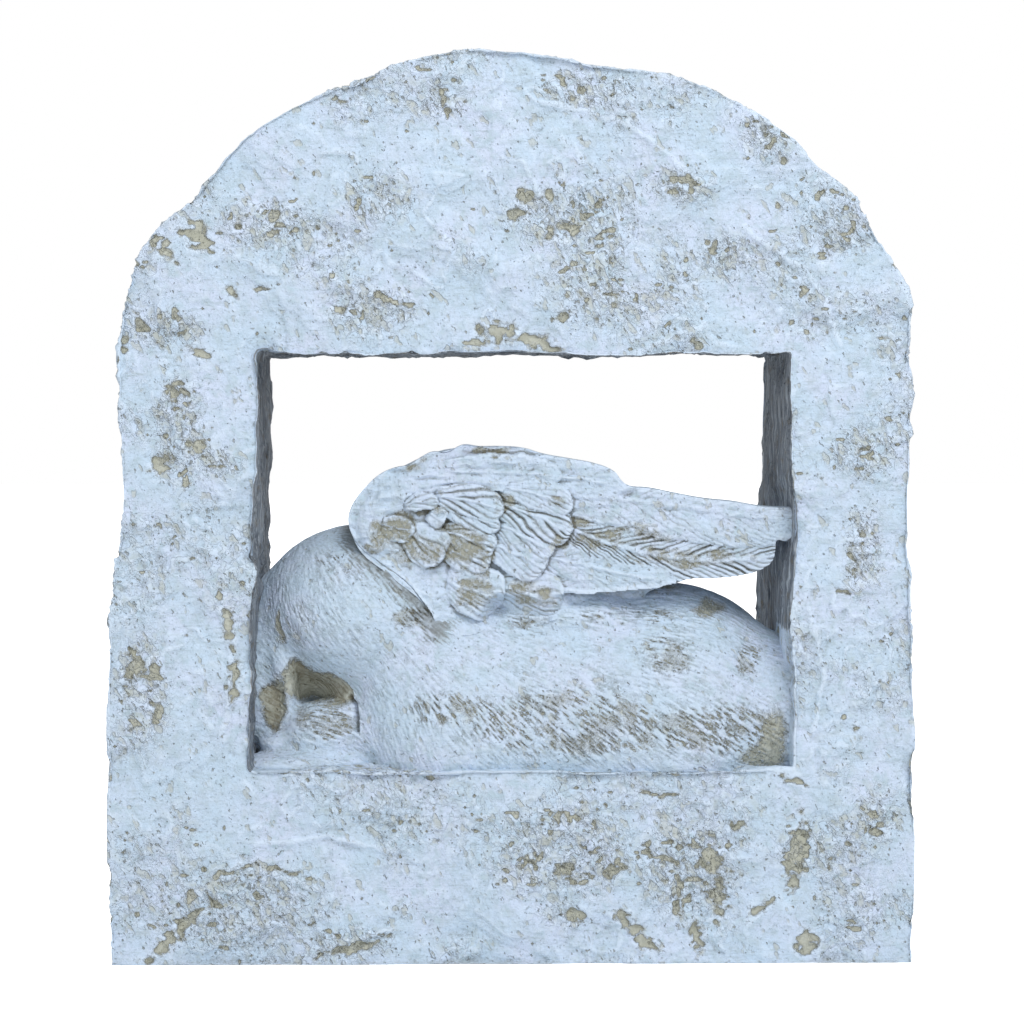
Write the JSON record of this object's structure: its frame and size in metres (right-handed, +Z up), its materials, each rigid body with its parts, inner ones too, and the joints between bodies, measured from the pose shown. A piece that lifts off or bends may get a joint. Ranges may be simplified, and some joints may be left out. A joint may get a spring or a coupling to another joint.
{
  "type": "pet grave marker",
  "caption": "Arched rough-hewn memorial slab with a rectangular window, and a winged sleeping dog lying on the window's sill, all a single casting.",
  "frame": {"origin": "middle of the underside, on the ground", "axes": "+Z up, -Y towards the side seen in the picture, +X to the right as seen from that side"},
  "size_m": [0.2084, 0.06, 0.2355],
  "materials": {
    "whitewashed_stone": "matte blue-white whitewash, worn through to khaki stone in the pits and hollows"
  },
  "bodies": {
    "root": {"grave_marker": "whitewashed_stone"}
  },
  "joints": []
}
